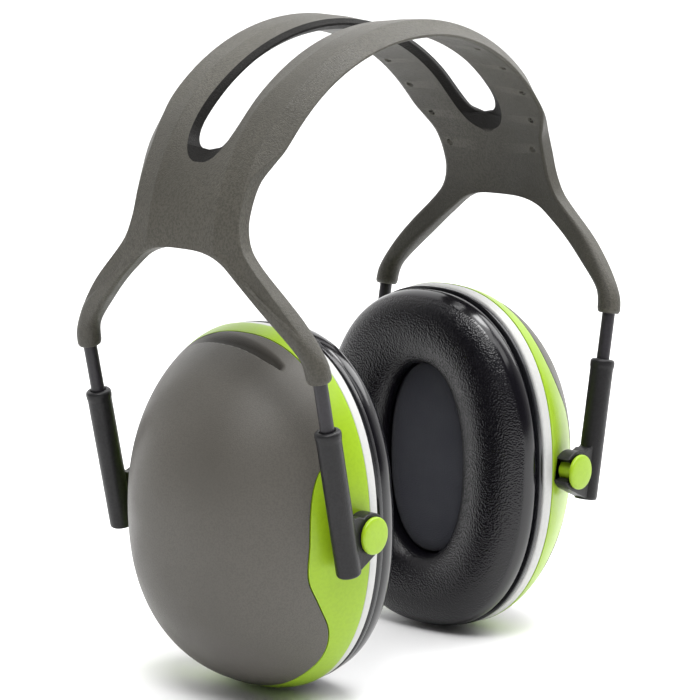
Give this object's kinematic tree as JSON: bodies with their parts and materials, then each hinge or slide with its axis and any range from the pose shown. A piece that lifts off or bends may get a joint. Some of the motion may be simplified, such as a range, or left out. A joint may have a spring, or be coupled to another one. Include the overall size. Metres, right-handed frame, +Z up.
{
  "type": "earmuff hearing protector",
  "caption": "Over-the-head earmuffs: slotted moulded headband with two legs a side, spring wires, sliding height adjusters and two tilting oval ear cups with soft ring cushions.",
  "frame": {"origin": "under the middle of the headband's crown, where the band rests on the head", "axes": "+X towards the wearer's left ear, -Y forwards, +Z up"},
  "size_m": [0.1532, 0.0926, 0.1838],
  "materials": {
    "band_grey": "moulded, fine matt grain",
    "wire_grey": "steel wire with a satin dark plastic coating",
    "slider_grey": "moulded, satin",
    "cover_grey": "moulded, fine matt grain",
    "lime": "moulded, semi-gloss",
    "white": "moulded, satin",
    "plate_black": "gloss black",
    "leatherette": "grained, semi-gloss",
    "foam": "smooth skinned foam"
  },
  "bodies": {
    "band": {"headband": "band_grey", "spring_wire_front_left": "wire_grey", "spring_wire_rear_left": "wire_grey", "spring_wire_front_right": "wire_grey", "spring_wire_rear_right": "wire_grey"},
    "slider_front_left": {"slider_front_left": "slider_grey"},
    "slider_rear_left": {"slider_rear_left": "slider_grey"},
    "cup_left": {"cup_cover_left": "cover_grey", "cup_shell_left": "lime", "spacer_ring_left": "white", "cushion_plate_left": "plate_black", "cushion_cover_left": "leatherette", "cushion_foam_left": "foam", "foam_liner_left": "foam", "pivot_stud_front_left": "lime", "pivot_stud_rear_left": "lime"},
    "slider_front_right": {"slider_front_right": "slider_grey"},
    "slider_rear_right": {"slider_rear_right": "slider_grey"},
    "cup_right": {"cup_cover_right": "cover_grey", "cup_shell_right": "lime", "spacer_ring_right": "white", "cushion_plate_right": "plate_black", "cushion_cover_right": "leatherette", "cushion_foam_right": "foam", "foam_liner_right": "foam", "pivot_stud_front_right": "lime", "pivot_stud_rear_right": "lime"}
  },
  "joints": [
    {"name": "height_front_left", "type": "slide", "parent": "band", "child": "slider_front_left", "axis": [-0.1994, 0, -0.9799], "range_m": [-0.012, 0.014]},
    {"name": "height_rear_left", "type": "slide", "parent": "band", "child": "slider_rear_left", "axis": [-0.1994, 0, -0.9799], "range_m": [-0.012, 0.014]},
    {"name": "cup_tilt_left", "type": "hinge", "parent": "slider_front_left", "child": "cup_left", "pos_m": [0.04648, 0, -0.1278], "axis": [0, 1, 0], "range_deg": [-12, 12]},
    {"name": "height_front_right", "type": "slide", "parent": "band", "child": "slider_front_right", "axis": [0.1994, 0, -0.9799], "range_m": [-0.012, 0.014]},
    {"name": "height_rear_right", "type": "slide", "parent": "band", "child": "slider_rear_right", "axis": [0.1994, 0, -0.9799], "range_m": [-0.012, 0.014]},
    {"name": "cup_tilt_right", "type": "hinge", "parent": "slider_front_right", "child": "cup_right", "pos_m": [-0.04648, 0, -0.1278], "axis": [0, 1, 0], "range_deg": [-12, 12]}
  ],
  "couplings": [
    {"joint": "height_rear_left", "follows": "height_front_left", "ratio": 1},
    {"joint": "height_rear_right", "follows": "height_front_right", "ratio": 1}
  ]
}
